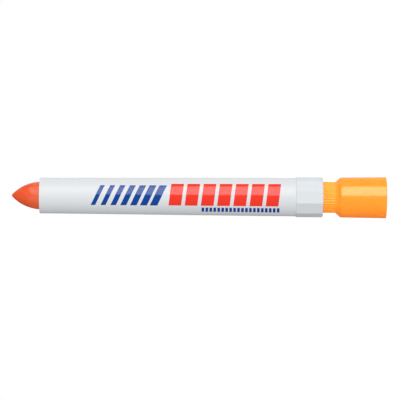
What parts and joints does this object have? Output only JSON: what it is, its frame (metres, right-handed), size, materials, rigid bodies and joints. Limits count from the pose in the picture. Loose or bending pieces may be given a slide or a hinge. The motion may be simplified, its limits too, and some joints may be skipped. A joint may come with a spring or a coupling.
{
  "type": "solid paint marker",
  "caption": "Twist-up solid paint marker: a white tapered barrel with a faceted collar, an orange knob with a ribbed neck, and an orange-red paint stick that a lead screw moves.",
  "frame": {"origin": "on the marker's axis, in the plane of the knob's open rim, on which it stands", "axes": "+Z along the axis from the knob to the paint tip; a flat of the collar faces -Y, and the printed side of the barrel faces -Y"},
  "size_m": [0.0176, 0.0176, 0.1603],
  "materials": {
    "barrel_plastic": "semi-gloss white moulding with printed fields of colour",
    "collar_plastic": "semi-gloss white moulding",
    "knob_plastic": "glossy orange-yellow moulding",
    "inner_plastic": "natural acetal",
    "seal_rubber": "matt black rubber",
    "solid_paint": "waxy orange-red solid paint"
  },
  "bodies": {
    "barrel": {"barrel": "barrel_plastic", "collar": "collar_plastic"},
    "knob": {"knob": "knob_plastic", "spindle": "inner_plastic", "seal_ring": "seal_rubber"},
    "stick": {"drive_nut": "inner_plastic", "plunger": "inner_plastic", "paint_stick": "solid_paint"}
  },
  "joints": [
    {"name": "knob_twist", "type": "hinge", "parent": "barrel", "child": "knob", "pos_m": [0, 0, 0], "axis": [0, 0, 1], "range_deg": [-1260, 2340]},
    {"name": "stick_slide", "type": "slide", "parent": "barrel", "child": "stick", "axis": [0, 0, 1], "range_m": [-0.014, 0.026]}
  ],
  "couplings": [
    {"joint": "stick_slide", "follows": "knob_twist", "m_per_rad": 0.00063662}
  ]
}
